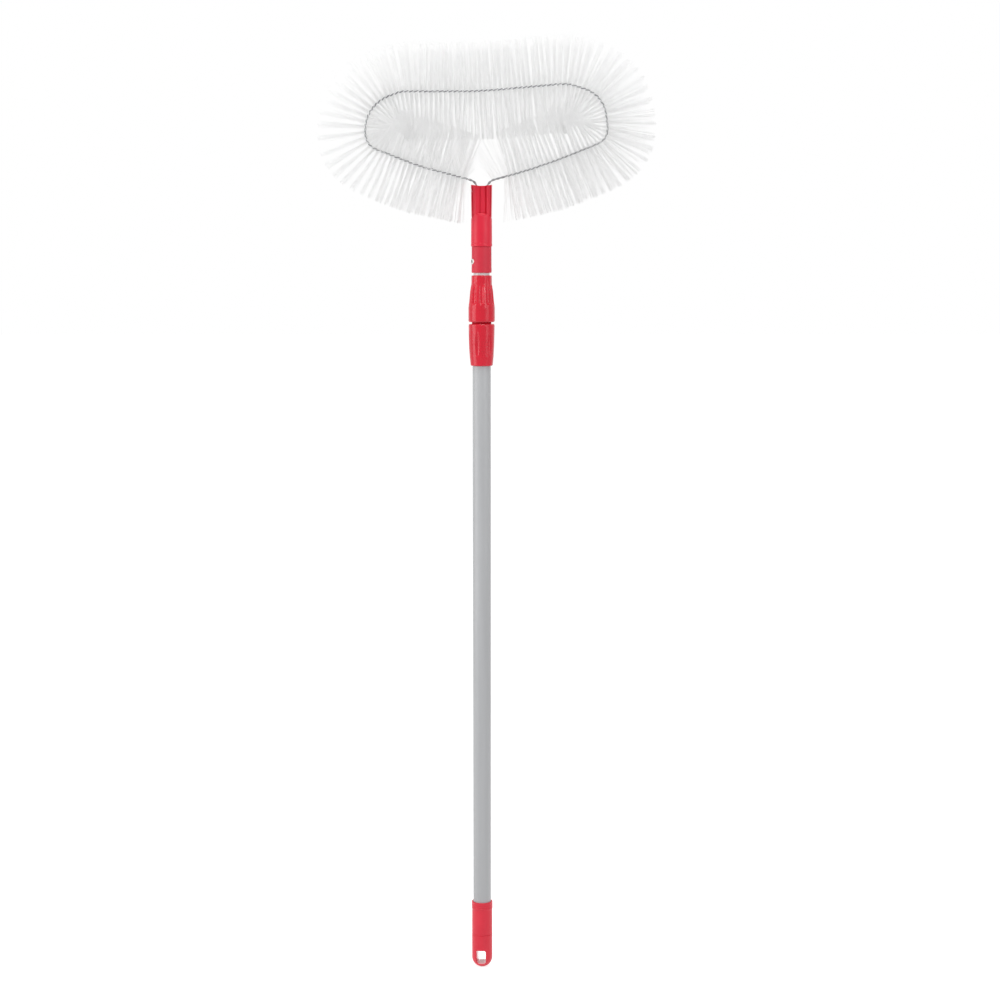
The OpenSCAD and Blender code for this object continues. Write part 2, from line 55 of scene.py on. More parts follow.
# Heights along the pole in millimetres, as in the part
FLOOR_Z = 17.8
CAP_TOP = 78.1
OUTER_TOP = 875.8
GRIP_Z, GRIP_TOP = 833.8, 890.2
NUT_Z, NUT_TOP = 894.0, 957.4
NECK_TOP = 917.0
INNER_Z, INNER_TOP = 27.0, 993.8
SLEEVE_Z, SLEEVE_TOP = 960.8, 996.4
HOLDER_Z, HOLDER_TOP = 996.5, 1080.3
STUB_TOP = 1034.4
SOCKET_TOP = 1036.0

# Radii in millimetres: the tubes, and the bores of the pieces that sit on them
OUTER_R, INNER_R, WALL = 12.5, 11.0, 0.5
OUTER_BORE, INNER_BORE = 12.55, 11.05


# Mesh making

def mesh_object(name, points, faces, sharp=None):
    """An object from points in millimetres and faces as rows of corner numbers."""
    mesh = bpy.data.meshes.new(name)
    mesh.from_pydata((np.asarray(points) * 0.001).tolist(), [], faces)
    mesh.validate()
    obj = bpy.data.objects.new(name, mesh)
    bpy.context.scene.collection.objects.link(obj)
    mesh.shade_smooth()
    if sharp:
        mesh.set_sharp_from_angle(angle=math.radians(sharp))
    return obj


def round_corners(points, steps):
    """Points of a profile from rows of (r, z, fillet radius), with steps pieces to each fillet."""
    out = []
    n = len(points)
    for i, (r, z, fillet) in enumerate(points):
        p = np.array([r, z], float)
        if not fillet or i in (0, n - 1):
            out.append(p)
            continue
        a = np.array(points[i - 1][:2], float) - p
        b = np.array(points[i + 1][:2], float) - p
        la, lb = np.linalg.norm(a), np.linalg.norm(b)
        a, b = a / la, b / lb
        half = math.acos(max(-1.0, min(1.0, float(a @ b)))) / 2
        back = min(fillet / math.tan(half), 0.49 * la, 0.49 * lb)
        for k in range(steps + 1):
            t = k / steps
            out.append((1 - t) ** 2 * (p + a * back) + 2 * t * (1 - t) * p + t * t * (p + b * back))
    return out


def subdivide(points, step):
    """The same profile with no piece longer than step."""
    out = [points[0]]
    for a, b in zip(points, points[1:]):
        k = max(1, int(math.ceil(np.linalg.norm(b - a) / step)))
        out += [a + (b - a) * i / k for i in range(1, k + 1)]
    return out


def grid_faces(rows, columns, closed=False, skip=()):
    """Quads between rows of columns points each, the columns closing on themselves."""
    faces = []
    last = rows if closed else rows - 1
    for j in range(last):
        a, b = j * columns, ((j + 1) % rows) * columns
        for i in range(columns):
            if (j, i) in skip:
                continue
            k = (i + 1) % columns
            faces.append((a + i, a + k, b + k, b + i))
    return faces


def turned(name, profile, segments=160, closed=True, shape=None, sharp=40):
    """A turned body from a profile of (r, z) that runs up the outside and down the inside.
    shape(angle, z, r) changes the radius of the points where it applies."""
    profile = np.array(profile)
    angles = np.arange(segments) * 2 * math.pi / segments
    r = np.repeat(profile[:, :1], segments, axis=1)
    z = np.repeat(profile[:, 1:], segments, axis=1)
    if shape:
        r = shape(angles[None, :], z, r)
    points = np.stack([r * np.cos(angles), r * np.sin(angles), z], axis=-1).reshape(-1, 3)
    return mesh_object(name, points, grid_faces(len(profile), segments, closed), sharp)


def soft_min(a, b, k):
    """The smaller of two values, blended where they differ by less than k."""
    h = np.clip(0.5 + 0.5 * (b - a) / k, 0, 1)
    return b * (1 - h) + a * h - k * h * (1 - h)


def off_nearest(angles, first, count):
    """Angle in radians from the nearest of count marks spaced evenly from first degrees."""
    pitch = 2 * math.pi / count
    return (angles - math.radians(first) + pitch / 2) % pitch - pitch / 2


def cut_by_circle(off, centre, radius):
    """Radius at which a ray at angle off meets a round cutter whose centre is at that distance."""
    side = centre * np.sin(off)
    inside = np.maximum(radius * radius - side * side, 0)
    return np.where(np.abs(side) < radius, centre * np.cos(off) - np.sqrt(inside), 99.0)


# Materials

def linear(rgb):
    """A colour written as 0 to 255, as linear RGBA."""
    shares = (v / 255 for v in rgb)
    return [(c / 12.92 if c <= 0.04045 else ((c + 0.055) / 1.055) ** 2.4) for c in shares] + [1.0]


class Shader:
    """A Principled material with small helpers for the nodes in front of it."""

    def __init__(self, name, rgb, roughness, **sockets):
        self.mat = bpy.data.materials.new(name)
        self.mat.use_nodes = True
        self.tree = self.mat.node_tree
        self.bsdf = self.tree.nodes["Principled BSDF"]
        self.bsdf.inputs["Base Color"].default_value = linear(rgb)
        self.bsdf.inputs["Roughness"].default_value = roughness
        for key, value in sockets.items():
            self.bsdf.inputs[key.replace("_", " ")].default_value = value
        self.coords = self.tree.nodes.new("ShaderNodeTexCoord").outputs["Object"]

    def node(self, kind, **values):
        """A new node, with values for its sockets or else for its settings."""
        n = self.tree.nodes.new(kind)
        for key, value in values.items():
            if key in n.inputs:
                n.inputs[key].default_value = value
            else:
                setattr(n, key, value)
        return n

    def noise(self, scale, detail, stretch=(1, 1, 1)):
        m = self.node("ShaderNodeMapping", Scale=stretch)
        self.tree.links.new(self.coords, m.inputs["Vector"])
        n = self.node("ShaderNodeTexNoise", Scale=scale, Detail=detail)
        self.tree.links.new(m.outputs["Vector"], n.inputs["Vector"])
        return n.outputs["Fac"]

    def remap(self, noise, low, high):
        """A noise, most of which lies between 0.3 and 0.7, brought between low and high."""
        n = self.node("ShaderNodeMapRange")
        for key, v in (("From Min", 0.3), ("From Max", 0.7), ("To Min", low), ("To Max", high)):
            n.inputs[key].default_value = v
        self.tree.links.new(noise, n.inputs["Value"])
        return n.outputs["Result"]

    def colour(self, noise, low_rgb, high_rgb):
        """Base colour that a noise moves between two colours."""
        share = self.remap(noise, 0, 1)
        n = self.node("ShaderNodeMix", data_type="RGBA")
        n.inputs[6].default_value = linear(low_rgb)
        n.inputs[7].default_value = linear(high_rgb)
        self.tree.links.new(share, n.inputs["Factor"])
        self.tree.links.new(n.outputs[2], self.bsdf.inputs["Base Color"])

    def roughness(self, noise, low, high):
        self.tree.links.new(self.remap(noise, low, high), self.bsdf.inputs["Roughness"])

    def bump(self, value, depth):
        """Relief of the given depth in metres, on top of what is there."""
        n = self.node("ShaderNodeBump", Strength=1.0, Distance=depth)
        before = self.bsdf.inputs["Normal"].links
        if before:
            self.tree.links.new(before[0].from_socket, n.inputs["Normal"])
        self.tree.links.new(value, n.inputs["Height"])
        self.tree.links.new(n.outputs["Normal"], self.bsdf.inputs["Normal"])


def moulded(name, low, high, rough_low, rough_high, grain, coat=0.0, shine=0.28):
    """Moulded plastic: slight mottling, uneven gloss, a fine grain and faint sink marks."""
    s = Shader(name, low, rough_low, Coat_Weight=coat, Coat_Roughness=0.16, Specular_IOR_Level=shine)
    s.colour(s.noise(38, 3.0), low, high)
    s.roughness(s.noise(120, 4.0), rough_low, rough_high)
    s.bump(s.noise(2600, 2.0), grain)
    s.bump(s.noise(45, 1.0), 0.00003)
    return s.mat


def coated_metal(name, low, high, rough_low, rough_high):
    """Paint on a drawn tube: faint long streaks and a fine orange peel."""
    s = Shader(name, low, rough_low, Coat_Weight=0.1, Coat_Roughness=0.3)
    streaks = s.noise(90, 3.0, (1, 1, 0.04))
    s.colour(streaks, low, high)
    s.roughness(s.noise(150, 4.0, (1, 1, 0.2)), rough_low, rough_high)
    s.bump(s.noise(900, 2.0), 0.000012)
    s.bump(streaks, 0.00002)
    return s.mat


def bare_metal(name, low, high, rough_low, rough_high, metal=1.0):
    """Metal with a fine, uneven surface."""
    s = Shader(name, low, rough_low, Metallic=metal)
    s.colour(s.noise(400, 3.0), low, high)
    s.roughness(s.noise(700, 3.0), rough_low, rough_high)
    s.bump(s.noise(1500, 2.0), 0.000006)
    return s.mat


CAP_RED = moulded("cap_plastic", (213, 40, 60), (221, 46, 65), 0.36, 0.46, 0.00001, 0.1, 0.3)
HOLDER_RED = moulded("holder_plastic", (212, 29, 55), (220, 35, 60), 0.34, 0.42, 0.000006, 0.1)
SLEEVE_RED = moulded("sleeve_plastic", (199, 44, 62), (207, 50, 67), 0.42, 0.52, 0.000012)
GLOSS_RED = moulded("gloss_plastic", (203, 16, 42), (211, 21, 46), 0.22, 0.28, 0.000001, 0.25, 0.22)
# The neck's red is darker than the collar's gloss red as painted shade in the gap under the nut; its matte,
# low-shine finish is its own.
NECK_SHADE_RED = moulded("neck_plastic_painted_shade", (190, 18, 36), (198, 22, 40), 0.6, 0.7, 0.00001, 0.0, 0.08)
# The hang hole's walls are glossier than the cap, and their lighter red is painted light where the hole is in
# shade.
HOLE_LIGHTENED_RED = moulded("polished_plastic_painted_light", (226, 60, 82), (232, 66, 88), 0.1, 0.16, 0.000001, 0.9, 0.6)
BLACK = moulded("bush_plastic", (38, 38, 40), (46, 46, 48), 0.4, 0.5, 0.00001)
NATURAL = moulded("ring_plastic", (226, 222, 210), (234, 230, 218), 0.38, 0.46, 0.000008)
GREY_COAT = coated_metal("outer_tube_coat", (170, 171, 173), (177, 178, 180), 0.38, 0.46)
LIGHT_COAT = coated_metal("inner_tube_coat", (212, 211, 211), (218, 217, 217), 0.26, 0.34)
ALUMINIUM = bare_metal("rivet_aluminium", (186, 184, 180), (204, 202, 197), 0.3, 0.42)
MANDREL = bare_metal("mandrel_steel", (44, 40, 40), (58, 54, 53), 0.5, 0.62, 0.4)
WIRE_STEEL = bare_metal("galvanised_wire", (142, 143, 145), (166, 167, 169), 0.3, 0.45, 0.75)


# Pole

def place(obj, body, material, cad):
    """Put a piece on its body in the place of a CAD node. Its material is None where it has its own already."""
    if material:
        obj.data.materials.append(material)
    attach(obj, body)
    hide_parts(cad)


def two_materials(obj, main, other, faces):
    """The main material all over, but for the given faces."""
    obj.data.materials.append(main)
    obj.data.materials.append(other)
    for face in faces:
        face.material_index = 1


def middle_of(face):
    """Radius and height of a face's middle in millimetres."""
    x, y, z = face.center * 1000
    return math.hypot(x, y), z


def tube_profile(radius, low, high, wall):
    """Closed profile of a tube with slightly rounded ends."""
    inner = radius - wall
    return round_corners([
        (inner, low + 3, 0), (inner, low, 0.15), (radius, low, 0.15), (radius, (low + high) / 2, 0),
        (radius, high, 0.15), (inner, high, 0.15), (inner, high - 3, 0)
    ], 3)


outer_tube = turned("outer_tube_looks", tube_profile(OUTER_R, FLOOR_Z, OUTER_TOP, WALL), 192)
place(outer_tube, "pole", GREY_COAT, "outer_tube")
inner_tube = turned("inner_tube_looks", tube_profile(INNER_R, INNER_Z, INNER_TOP, WALL), 192)
place(inner_tube, "inner_pole", LIGHT_COAT, "inner_tube")


def end_cap():
    """Cap with a ball foot. The hang hole's outline is woven into the turned grid at front and back."""
    r, ball_z, rim = 14.4, -2.6, 14.65
    seam = FLOOR_Z + 13
    out = [(r, ball_z, 0), (r + 0.03, seam - 0.7, 0), (r + 0.03, seam - 0.45, 0.12), (r - 0.7, seam, 0.2),
           (r + 0.03, seam + 0.45, 0.12), (r, seam + 0.8, 0), (r - 0.1, 67.3, 0.4), (rim, 68.1, 0.4),
           (rim, 69.7, 0.1), (rim - 0.55, 70.2, 0.2), (rim, 70.7, 0.1), (rim, 72.6, 0.1),
           (rim - 0.55, 73.1, 0.2), (rim, 73.6, 0.1), (rim, CAP_TOP, 0.7), (OUTER_BORE, CAP_TOP, 0.35),
           (OUTER_BORE, FLOOR_Z, 0.3), (0.01, FLOOR_Z, 0)]
    ball = [np.array([r * math.cos(a), ball_z + r * math.sin(a)])
            for a in np.radians(np.linspace(-89.98, 0, 64))]
    upper = subdivide(round_corners(out, 4), 0.9)
    body = [p for p in upper if p[1] > ball_z + 0.01 or p[0] < 13]
    profile = np.array(ball + body)
    segments = 192
    angles = -math.pi / 2 + (np.arange(segments) + 0.5) * 2 * math.pi / segments
    rows = len(profile)

    # Half of the patch that the hole takes out of the grid, in columns and millimetres
    columns = 22
    low, high = -13.3, 13.2
    j0 = int(np.argmin(np.abs(profile[:rows // 2, 1] - low)))
    outer_rows = [j for j in range(rows) if profile[j, 0] > 9 and profile[j, 1] < 20]
    j1 = min(outer_rows, key=lambda j: abs(profile[j, 1] - high))
    points = [(p[0] * math.cos(a), p[0] * math.sin(a), p[1]) for p in profile for a in angles]
    skip = set()
    for j in range(j0, j1):
        for i in range(-columns, columns - 1):
            skip.add((j, i % segments))
            skip.add((j, (i + segments // 2) % segments))
    faces = grid_faces(rows, segments, False, skip)

    def rim_ring(shift):
        """Corner numbers round the patch that is left out, shift columns on."""
        ring = [(j0, i) for i in range(-columns, columns - 1)]
        ring += [(j, columns - 1) for j in range(j0, j1)]
        ring += [(j1, i) for i in range(columns - 1, -columns, -1)]
        ring += [(j, -columns) for j in range(j1, j0, -1)]
        return [j * segments + (i + shift) % segments for j, i in ring]

    def skin(u, z):
        """Distance of the cap's surface from the middle plane, at u across and z up."""
        return np.sqrt(np.maximum(r * r - (np.minimum(z, ball_z) - ball_z) ** 2 - u * u, 1.0))

    # The hole in millimetres: half its width in the middle and at the mouth, half its height, and its corners
    waist, mouth, tall, corner, hole_z, fillet = 5.0, 6.8, 9.8, 2.8, -1.0, 0.9

    def outline(directions, half_w, half_h, radius):
        """Where rays in these directions leave a rounded rectangle."""
        cx, cz = half_w - radius, half_h - radius
        dx, dz = np.abs(np.cos(directions)), np.abs(np.sin(directions))
        t = np.minimum(half_w / np.maximum(dx, 1e-9), half_h / np.maximum(dz, 1e-9))
        x, z = t * dx, t * dz
        b = dx * cx + dz * cz
        root = np.sqrt(np.maximum(b * b - (cx * cx + cz * cz - radius * radius), 0))
        t = np.where((x > cx) & (z > cz), b + root, t)
        return t * np.cos(directions), t * np.sin(directions) + hole_z

    def mouth_rings(ring, side):
        """Rings from the grid's edge over the mouth's rounded edge, side -1 in front and 1 at the back."""
        base = np.array([points[k] for k in ring])
        d = np.arctan2(base[:, 2] - hole_z, base[:, 0])
        rings = []
        gx, gz = outline(d, mouth + fillet, tall + fillet, corner + fillet)
        for t in (0.25, 0.5, 0.75, 1.0):
            u = base[:, 0] * (1 - t) + gx * t
            z = base[:, 2] * (1 - t) + gz * t
            rings.append(np.stack([u, side * skin(u, z), z], axis=1))
        for k in (1, 2, 3, 4):
            a = k / 4 * math.pi / 2
            grown = fillet * (1 - math.sin(a))
            u, z = outline(d, mouth + grown, tall + grown, corner + grown)
            rings.append(np.stack([u, side * (skin(u, z) - fillet * (1 - math.cos(a))), z], axis=1))
        return rings, d

    front = rim_ring(0)
    back = rim_ring(segments // 2)
    # each front corner is paired with the back corner straight behind it
    straight = [min(back, key=lambda k: abs(points[k][0] - points[f][0]) + abs(points[k][2] - points[f][2]))
                for f in front]
    front_rings, d = mouth_rings(front, -1)
    back_rings, _ = mouth_rings(straight, 1)
    tunnel = []
    near, far = front_rings[-1], back_rings[-1]
    for t in np.linspace(0, 1, 15)[1:-1]:
        y = near[:, 1] * (1 - t) + far[:, 1] * t
        half = waist + (mouth - waist) * np.sqrt((y / r) ** 2 + 0.004)
        u, z = outline(d, half, tall, corner)
        tunnel.append(np.stack([u, y, z], axis=1))
    count = len(front)
    ids = [front]
    for ring in front_rings + tunnel + back_rings[::-1]:
        ids.append(list(range(len(points), len(points) + count)))
        points += [tuple(p) for p in ring]
    ids.append(straight)
    grid = len(faces)
    for a, b in zip(ids, ids[1:]):
        for i in range(count):
            k = (i + 1) % count
            faces.append((a[i], a[k], b[k], b[i]))
    cap = mesh_object("end_cap_looks", points, faces, 50)
    # the hole's walls are polished, and their lighter red is painted light in the hole, from two rings over the
    # edge at the front to two rings at the back
    two_materials(cap, CAP_RED, HOLE_LIGHTENED_RED, cap.data.polygons[grid + 6 * count:grid + (len(ids) - 7) * count])
    return cap


cap = end_cap()
yaw = math.radians(-8)     # in the photograph the cap sits a few degrees round from the front
for vertex in cap.data.vertices:
    x, y, z = vertex.co
    vertex.co = (x * math.cos(yaw) - y * math.sin(yaw), x * math.sin(yaw) + y * math.cos(yaw), z)
place(cap, "pole", None, "end_cap")


def grip_collar():
    """Collar with six long flutes, fixed on the outer tube's top, and the neck that the nut turns on."""
    foot, r, neck, root, bore = 15.5, 17.85, 14.2, 13.3, 11.3
    length = GRIP_TOP - GRIP_Z
    lip = GRIP_TOP + 0.8
    middle = GRIP_Z + 0.44 * length
    rise = [(12.75, GRIP_Z + 26.2, 0), (12.6, GRIP_Z, 0.5),
            (foot - 1.2, GRIP_Z, 0.4), (foot - 0.2, GRIP_Z + 1.0, 0.6),
            (foot, GRIP_Z + 3.4, 5.0), (foot + 0.9, GRIP_Z + 0.21 * length, 10), (r - 0.75, middle, 10),
            (r - 0.3, GRIP_Z + 0.67 * length, 8), (r, lip - 3.5, 4), (r - 0.1, lip - 1.2, 0.8),
            (r - 0.8, lip, 0.4), (root, lip, 0.5), (root, NUT_Z + 1.5, 0.3), (neck, NUT_Z + 2.5, 0.3),
            (neck, NECK_TOP, 0.6), (12.2, NECK_TOP, 0.3),
            (11.6, NECK_TOP - 8.1, 0), (bore, NECK_TOP - 8.1, 0), (bore, OUTER_TOP + 0.1, 0),
            (OUTER_BORE, OUTER_TOP + 0.1, 0), (OUTER_BORE, GRIP_Z + 28.2, 0)]
    profile = subdivide(round_corners(rise, 5), 1.0)
    # a flute is as wide as its spindle-shaped cutter, which comes to a point at both ends
    widest = 4.2
    arc = (length * length / 4 + widest * widest) / (2 * widest)

    def flutes(angles, z, radius):
        h = z - middle
        cutter = np.sqrt(np.maximum(arc * arc - h * h, 0)) - (arc - widest)
        centre = r + 1.8 - h * math.tan(math.radians(1.6))
        off = off_nearest(angles, 10.2, 6)
        wall = cut_by_circle(off, centre, np.maximum(cutter, 0.01))
        cut = soft_min(radius, wall, 0.35)
        outside = (radius > foot - 3) & (z < lip - 0.6) & (z > GRIP_Z + 0.2)
        return np.where(outside, cut, radius)

    collar = turned("grip_collar_looks", profile, 320, True, flutes, 50)
    places = [(face, *middle_of(face)) for face in collar.data.polygons]
    # the neck above the lip takes the darker red, which is painted shade in the gap between nut and collar
    two_materials(collar, GLOSS_RED, NECK_SHADE_RED, [f for f, out, z in places if z > lip + 0.1 and out < 14.4])
    return collar


place(grip_collar(), "pole", None, "grip_collar")


def lock_nut():
    """Nut with ten scallops that run out above its skirt. The clamp ring's chamber is inside the top."""
    r, top, skirt, thread, chamber, ledge = 18.15, 14.0, 23.0, 14.3, 13.3, 928.2
    taper = NUT_TOP - NUT_Z - skirt
    s = NUT_Z + skirt
    rise = [(thread, NECK_TOP, 0), (thread, NUT_Z - 0.2, 0.4), (r - 1, NUT_Z - 0.2, 0.5),
            (r, NUT_Z + 1.4, 1.0), (r, s - 4, 3), (r - 0.4, s, 4),
            (r - 1.1, s + 0.08 * taper, 4), (r - 2.4, s + 0.45 * taper, 12),
            (top + 0.7, s + 0.62 * taper, 7), (top, s + 0.7 * taper, 4), (top, NUT_TOP, 1.5),
            (11.35, NUT_TOP, 0.4), (11.35, ledge, 0), (chamber, ledge, 0), (chamber, NECK_TOP + 0.1, 0),
            (thread, NECK_TOP + 0.1, 0)]
    profile = subdivide(round_corners(rise, 5), 0.8)
    cut_r, low = 4.5, s + 4

    def scallops(angles, z, radius):
        up = z - low
        cutter = np.sqrt(np.maximum(cut_r ** 2 - np.minimum(up, 0) ** 2, 0))
        centre = r - 3.0 + cut_r - up * math.tan(math.radians(4.2))
        off = off_nearest(angles, 16, 10)
        wall = cut_by_circle(off, centre, np.maximum(cutter, 0.01))
        wall = wall + np.maximum(z - (s + 0.66 * taper), 0) * 0.12
        cut = soft_min(radius, wall, 0.35)
        outside = (radius > top - 0.5) & (z > NUT_Z + 12) & (z < NUT_TOP - 0.9)
        return np.where(outside, cut, radius)

    return turned("lock_nut_looks", profile, 340, True, scallops, 50)


place(lock_nut(), "lock_nut", GLOSS_RED, "lock_nut")

# Tip

sleeve = turned("tip_sleeve_looks", subdivide(round_corners([
    (INNER_BORE, SLEEVE_Z + 4, 0), (INNER_BORE, SLEEVE_Z, 0.25), (13.75, SLEEVE_Z, 1.4),
    (13.75, SLEEVE_Z + 6, 0.3), (13.62, SLEEVE_Z + 6.6, 0.3), (13.55, SLEEVE_TOP, 0.6), (10.8, SLEEVE_TOP, 0.2),
    (10.2, STUB_TOP, 0.8), (7.6, STUB_TOP, 0.5), (7.6, STUB_TOP - 3, 0), (7.6, SLEEVE_TOP, 0),
    (INNER_BORE, SLEEVE_TOP - 2.5, 0)], 4), 2.0), 192)
place(sleeve, "inner_pole", SLEEVE_RED, "tip_sleeve")


def rivet():
    """Blind rivet: its rim sinks into the sleeve's curved side, and the broken mandrel shows in its middle."""
    head = turned("tip_rivet_looks", round_corners([
        (0.01, 0, 0), (3.85, 0, 0), (3.85, 1.0, 0.3), (3.1, 1.6, 0.8), (2.4, 1.8, 0.3), (2.15, 1.6, 0.1),
        (2.05, 1.5, 0.1), (1.9, 1.8, 0.2), (1.0, 1.95, 0.5), (0.01, 2.0, 0)], 5), 64, False)
    places = [(face, *middle_of(face)) for face in head.data.polygons]
    two_materials(head, ALUMINIUM, MANDREL, [f for f, across, z in places if across < 2.12 and z > 0.02])
    a = math.radians(204)       # on the sleeve's left, a little to the front
    out = Vector((math.cos(a), math.sin(a), 0))
    side = Vector((-math.sin(a), math.cos(a), 0))
    up = Vector((0, 0, 1))
    centre = out * 12.75 + up * (SLEEVE_Z + 0.47 * 33)
    for v in head.data.vertices:
        p = v.co * 1000
        v.co = (centre + side * p.x + up * p.y + out * p.z) * 0.001
    return head


place(rivet(), "inner_pole", None, "tip_rivet")


def brush_holder():
    """Socket skirt ended by an arch, and the fluted top. The grid's rows follow the arch at every angle."""
    half, flat, arch_r, skirt_h = 14.4, 12.1, 17.5, 45.3
    arch_z = HOLDER_Z + skirt_h - arch_r
    segments = 640
    angles = np.arange(segments) * 2 * math.pi / segments
    cos, sin = np.cos(angles), np.abs(np.sin(angles))
    # the top is hollowed from left to right to this depth, by an arc of this radius
    hollow = 1.9
    dip = (half ** 2 + hollow ** 2) / (2 * hollow)
    # The ribs at the front and back are a little narrower than those between them
    marks = np.radians([30, 79.5, 115.5, 150, 210, 259.5, 295.5, 330])
    turns = (angles[:, None] - marks[None, :] + math.pi) % (2 * math.pi) - math.pi
    off = np.take_along_axis(turns, np.abs(turns).argmin(axis=1)[:, None], axis=1)[:, 0]

    def skirt(z):
        low = [HOLDER_Z, HOLDER_Z + 0.6, HOLDER_Z + 4, HOLDER_Z + 4.35, HOLDER_Z + 4.8, arch_z + 6, HOLDER_TOP]
        rad = [half - 0.3, half + 0.1, half + 0.1, half - 0.25, half, half - 0.2, half - 0.2]
        return np.interp(z, low, rad)

    def fluted(z):
        round_part = half - 0.5 + 0.6 * (z - arch_z - 8) / (HOLDER_TOP - arch_z - 8)
        body = soft_min(round_part, flat / np.maximum(sin, 0.05), 0.8)
        across = np.abs(body * np.sin(off)) / 1.45
        groove = np.clip(1 - across ** 4, 0, 1)
        depth = body - 10.6 / np.cos(off)
        return soft_min(body, body - depth * groove + 0.05, 0.3)

    def top(x):
        return HOLDER_TOP - hollow + dip - np.sqrt(dip ** 2 - x ** 2)

    rows = []

    def row(radius, z):
        radius = np.broadcast_to(radius, angles.shape)
        z = np.broadcast_to(z, angles.shape)
        rows.append(np.stack([radius * cos, radius * np.sin(angles), z], axis=1))

    # socket from its roof down to the mouth, then the skirt upwards
    row(0.01, SOCKET_TOP)
    row(10.2, SOCKET_TOP)
    row(10.3, SOCKET_TOP - 2)
    row(10.85, HOLDER_Z + 0.5)
    row(11.1, HOLDER_Z)
    row(half - 0.75, HOLDER_Z)
    row(half - 0.3, HOLDER_Z + 0.12)
    outer = skirt(arch_z + 8)
    x = outer * cos
    arch_in = arch_z + np.sqrt(arch_r ** 2 - x ** 2)
    over = np.maximum(outer * sin - flat, 0)
    # The skirt's edge leans inwards below the arch, most at the front and back
    arch_out = arch_z + np.sqrt((arch_r - 0.7 - 0.9 * over) ** 2 - x ** 2)
    low_rows = [0.012, 0.022, 0.034, 0.046, 0.058]
    for t in np.concatenate([low_rows, np.linspace(0.084, 0.13, 8), np.linspace(0.16, 1, 24)]):
        z = HOLDER_Z + (arch_out - 1.0 - HOLDER_Z) * t
        row(skirt(z), z)
    inner = np.minimum(outer, np.where(over > 0, flat / np.maximum(sin, 0.05), outer))
    chamfer = np.clip(outer - inner, 0.12, 0.9)
    for t in np.linspace(0.15, 1.2, 5):
        row(outer - chamfer * (1 - math.cos(t)), arch_out - chamfer * (1 - math.sin(t)))
    row(outer * 0.2 + inner * 0.8, arch_out * 0.2 + arch_in * 0.8)
    # over the arch's edge, and down to the foot of the flutes, which is sunk a little behind it
    sunk = 0.6
    base = fluted(arch_in) - sunk
    row(np.maximum(inner - 0.15, np.minimum(base + 0.25, inner)), arch_in + 0.02)
    row(np.minimum(base + 0.25, inner), arch_in + 0.05)
    row(np.minimum(base + 0.05, inner), arch_in + 0.15)
    last = top(fluted(HOLDER_TOP) * cos) - 0.45
    for t in np.linspace(0, 1, 40):
        z = (arch_in + 0.45) * (1 - t ** 1.5) + last * t ** 1.5
        row(fluted(z) - sunk * np.exp(-((z - arch_in - 0.4) / 1.2) ** 2), z)
    edge = fluted(HOLDER_TOP)
    for inset, drop in ((0.06, 0.22), (0.2, 0.06), (0.45, 0.0)):
        radius = edge - inset
        row(radius, top(radius * cos) - drop)
    for share in (0.9, 0.75, 0.6, 0.45, 0.3, 0.15, 0.001):
        radius = (edge - 0.45) * share
        row(radius, top(radius * cos))
    points = np.concatenate(rows)
    return mesh_object("brush_holder_looks", points, grid_faces(len(rows), segments), 42)


place(brush_holder(), "brush_head", HOLDER_RED, "brush_holder")

# Brush

# Corners of the wire loop's route: [x, height above the holder's top, bend radius], as in the part
CORNERS = [
    (-6.5, -28, 0), (-6.5, 4, 11), (-87, 26, 210), (-158, 53.5, 23), (-157.5, 107, 49), (-109, 125.5, 40),
    (-3.5, 125.5, 540), (117, 136, 60), (166.5, 120.5, 42), (173.5, 61, 22), (81, 24, 800), (6.5, 4, 15),
    (6.5, -28, 0)
]
# Lengths of wire in the holder, and without bristles beside it
FEET, BARE_LEFT, BARE_RIGHT = 28.0, 20.5, 29.5
HALF_TURN = 6.7        # length of wire in half a turn of the twist


def trace_route(step=0.05):
    """Points, headings and lengths along the route, packed closely enough to interpolate."""
    corners = np.array(CORNERS, float)
    points = [corners[0, :2]]
    for i in range(1, len(corners) - 1):
        p, r = corners[i, :2], corners[i, 2]
        a = p - corners[i - 1, :2]
        b = corners[i + 1, :2] - p
        a, b = a / np.linalg.norm(a), b / np.linalg.norm(b)
        turn = math.atan2(a[0] * b[1] - a[1] * b[0], a @ b)
        start = p - a * r * math.tan(abs(turn) / 2)
        hand = math.copysign(1, turn)
        centre = start + hand * r * np.array([-a[1], a[0]])
        first = math.atan2(*(start - centre)[::-1])
        for t in np.linspace(0, turn, max(12, int(abs(turn) * r / 0.8))):
            points.append(centre + r * np.array([math.cos(first + t), math.sin(first + t)]))
    points.append(corners[-1, :2])
    points = np.array(points)
    keep = np.concatenate([[True], np.linalg.norm(np.diff(points, axis=0), axis=1) > 1e-6])
    points = points[keep]
    lengths = np.concatenate([[0], np.cumsum(np.linalg.norm(np.diff(points, axis=0), axis=1))])
    even = np.arange(0, lengths[-1], step)
    x, z = np.interp(even, lengths, points[:, 0]), np.interp(even, lengths, points[:, 1])
    heading = np.unwrap(np.arctan2(np.gradient(z), np.gradient(x)))
    smooth = np.convolve(np.pad(heading, 20, mode="edge"), np.ones(41) / 41, mode="valid")
    return even, x, z, smooth


ROUTE_S, ROUTE_X, ROUTE_Z, ROUTE_A = trace_route()
ROUTE_LEN = ROUTE_S[-1]


def on_route(s):
    """Points [x, 0, z] on the route, and the unit vectors along it and outwards, for an array of lengths."""
    x, z, a = (np.interp(s, ROUTE_S, v) for v in (ROUTE_X, ROUTE_Z, ROUTE_A))
    zero = np.zeros_like(x)
    here = np.stack([x, zero, z + HOLDER_TOP], axis=-1)
    along = np.stack([np.cos(a), zero, np.sin(a)], axis=-1)
    out = np.stack([-np.sin(a), zero, np.cos(a)], axis=-1)
    return here, along, out


